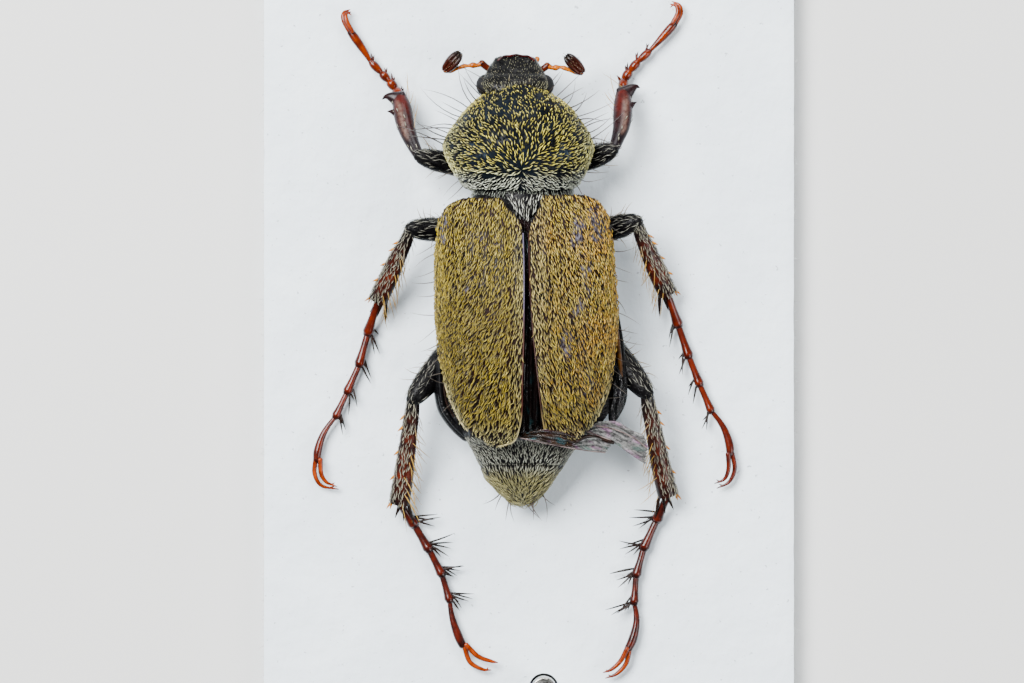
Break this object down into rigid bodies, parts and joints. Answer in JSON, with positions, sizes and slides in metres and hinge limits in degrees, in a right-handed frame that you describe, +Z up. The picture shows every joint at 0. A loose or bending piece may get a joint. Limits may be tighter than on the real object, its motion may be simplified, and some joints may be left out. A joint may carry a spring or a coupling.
{
  "type": "card-mounted macrodactylus farinosus beetle",
  "caption": "Slender long-legged scarab beetle, life size, back up and legs spread, fixed on a rectangular card with a short pin through it; torn hind wing at the right.",
  "frame": {"origin": "centre of the card's underside, which is the model's lowest and widest face", "axes": "+Z up through the beetle's back, +Y towards the beetle's head along the card, +X to the beetle's right"},
  "size_m": [0.011, 0.018, 0.0035],
  "materials": {
    "white_card": "uncoated white card with cut fibrous edges",
    "pin_steel": "dull drawn steel wire",
    "body_black": "black polished chitin",
    "tail_hair": "chitin under dense pale setae",
    "shield_blue_black": "blue-black punctured chitin under cream setae",
    "scutellum_white": "black chitin with white setae",
    "head_black": "black densely punctured chitin",
    "eye_grey": "dark grey faceted lens",
    "feeler_orange": "translucent orange-red chitin",
    "club_brown": "dark brown chitin with brown bands",
    "wing_case_ochre": "purplish black chitin under golden setae",
    "wing_fold_black": "black glossy folded wing",
    "wing_membrane": "grey translucent iridescent membrane",
    "leg_black": "black chitin under grey-white setae",
    "leg_red_brown": "dark red-brown chitin",
    "toe_red": "red-brown chitin",
    "claw_amber": "amber chitin"
  },
  "bodies": {
    "root": {"card": "white_card", "pin": "pin_steel", "thorax": "body_black", "abdomen": "body_black", "pygidium": "tail_hair", "prothorax": "shield_blue_black", "scutellum": "scutellum_white", "head": "head_black", "eye_left": "eye_grey", "eye_right": "eye_grey", "antenna_stalk_left": "feeler_orange", "antenna_stalk_right": "feeler_orange", "antenna_club_left": "club_brown", "antenna_club_right": "club_brown", "palp_left": "feeler_orange", "palp_right": "feeler_orange", "elytron_left": "wing_case_ochre", "elytron_right": "wing_case_ochre", "hind_wing_fold": "wing_fold_black", "hind_wing_blade_lower": "wing_membrane", "hind_wing_blade_upper": "wing_membrane", "front_left_femur": "leg_black", "front_left_tibia": "leg_red_brown", "front_left_tarsus": "toe_red", "front_left_claws": "claw_amber", "front_right_femur": "leg_black", "front_right_tibia": "leg_red_brown", "front_right_tarsus": "toe_red", "front_right_claws": "claw_amber", "middle_left_femur": "leg_black", "middle_left_tibia": "leg_red_brown", "middle_left_tarsus": "toe_red", "middle_left_claws": "claw_amber", "middle_right_femur": "leg_black", "middle_right_tibia": "leg_red_brown", "middle_right_tarsus": "toe_red", "middle_right_claws": "claw_amber", "hind_left_femur": "leg_black", "hind_left_tibia": "leg_red_brown", "hind_left_tarsus": "toe_red", "hind_left_claws": "claw_amber", "hind_right_femur": "leg_black", "hind_right_tibia": "leg_red_brown", "hind_right_tarsus": "toe_red", "hind_right_claws": "claw_amber"}
  },
  "joints": []
}
